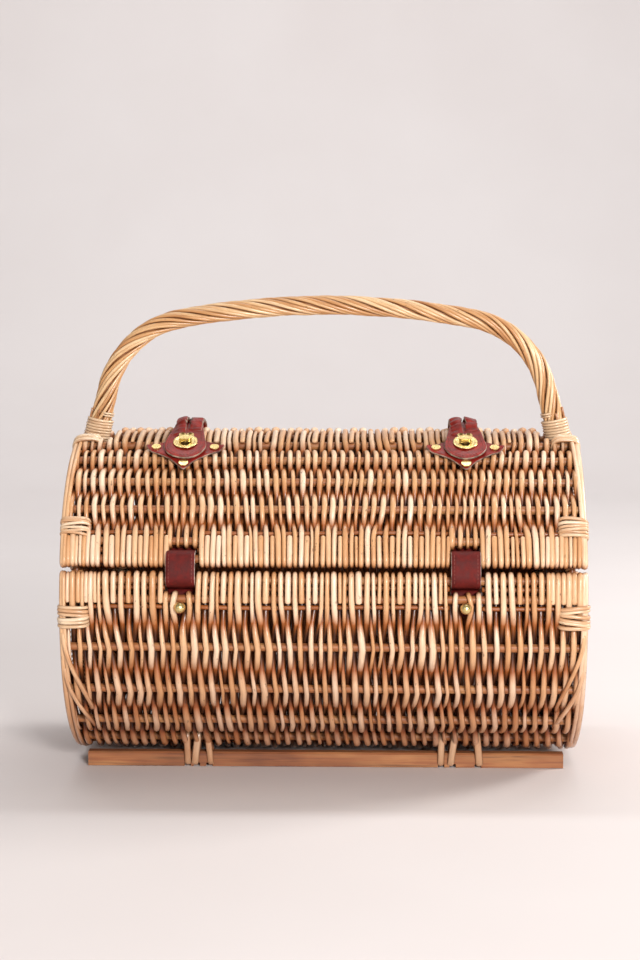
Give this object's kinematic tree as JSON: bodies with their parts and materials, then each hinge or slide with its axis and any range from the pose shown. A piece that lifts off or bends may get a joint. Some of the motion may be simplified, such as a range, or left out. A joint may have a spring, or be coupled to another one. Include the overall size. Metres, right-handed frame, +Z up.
{
  "type": "wicker picnic basket",
  "caption": "Barrel-shaped woven willow picnic basket on its side: front-opening lid on leather hinges, turnlock tabs, arched carrying handle and wooden runners.",
  "frame": {"origin": "on the surface that the runners stand on, under the middle of the barrel", "axes": "+X along the barrel to the basket's right as seen from the front, -Y out of the front, where the lid opens, +Z up"},
  "size_m": [0.4404, 0.2922, 0.4085],
  "materials": {
    "willow": "buff willow strands, semi-gloss, pale highlights and dark gaps",
    "willow_rod": "browner peeled willow rods, satin",
    "cane": "pale split cane binding, glossy",
    "runner_wood": "stained wood strip with grain, satin",
    "leather": "oxblood bridle leather, stitched, pale cut edges",
    "brass": "polished pale brass"
  },
  "bodies": {
    "basket": {"body_weave": "willow", "body_stakes": "willow_rod", "body_front_rim": "willow_rod", "body_rear_rim": "willow_rod", "body_left_edge": "willow", "body_right_edge": "willow", "body_left_binding": "cane", "body_right_binding": "cane", "left_end_weave": "willow", "right_end_weave": "willow", "left_end_hoop": "willow_rod", "right_end_hoop": "willow_rod", "left_end_sticks": "willow_rod", "right_end_sticks": "willow_rod", "handle_core": "willow_rod", "handle_twist": "willow", "left_handle_binding": "cane", "right_handle_binding": "cane", "front_runner": "runner_wood", "rear_runner": "runner_wood", "front_runner_ties": "willow", "rear_runner_ties": "willow", "hinge_strap_left": "leather", "hinge_strap_right": "leather", "ball_stud_left": "brass", "ball_stud_right": "brass", "tab_anchor_left": "leather", "tab_anchor_right": "leather"},
    "lid": {"lid_weave": "willow", "lid_stakes": "willow_rod", "lid_lower_rim": "willow_rod", "lid_top_rim": "willow_rod", "lid_left_edge": "willow", "lid_right_edge": "willow", "lid_left_binding": "cane", "lid_right_binding": "cane", "diamond_plate_left": "leather", "diamond_plate_right": "leather", "diamond_rivets_left": "brass", "diamond_rivets_right": "brass", "turnlock_base_left": "brass", "turnlock_base_right": "brass"},
    "knob_left": {"turn_knob_left": "brass"},
    "tab_left": {"locking_tab_left": "leather", "eyelet_plate_left": "brass", "eyelet_rivets_left": "brass"},
    "knob_right": {"turn_knob_right": "brass"},
    "tab_right": {"locking_tab_right": "leather", "eyelet_plate_right": "brass", "eyelet_rivets_right": "brass"}
  },
  "joints": [
    {"name": "lid_hinge", "type": "hinge", "parent": "basket", "child": "lid", "pos_m": [0, -0.13835, 0.18611], "axis": [1, 0, 0], "range_deg": [0, 165], "deforming": ["hinge_strap_left", "hinge_strap_right", "locking_tab_left", "locking_tab_right", "eyelet_plate_left", "eyelet_plate_right", "eyelet_rivets_left", "eyelet_rivets_right"]},
    {"name": "tab_swing_left", "type": "hinge", "parent": "basket", "child": "tab_left", "pos_m": [-0.12, 0.00386, 0.29525], "axis": [-1, 0, 0], "range_deg": [0, 150]},
    {"name": "tab_swing_right", "type": "hinge", "parent": "basket", "child": "tab_right", "pos_m": [0.12, 0.00386, 0.29525], "axis": [-1, 0, 0], "range_deg": [0, 150]},
    {"name": "knob_turn_left", "type": "hinge", "parent": "lid", "child": "knob_left", "pos_m": [-0.12, -0.0606, 0.28412], "axis": [0, -0.4067, 0.9135], "range_deg": [0, 90]},
    {"name": "knob_turn_right", "type": "hinge", "parent": "lid", "child": "knob_right", "pos_m": [0.12, -0.0606, 0.28412], "axis": [0, -0.4067, 0.9135], "range_deg": [0, 90]}
  ]
}
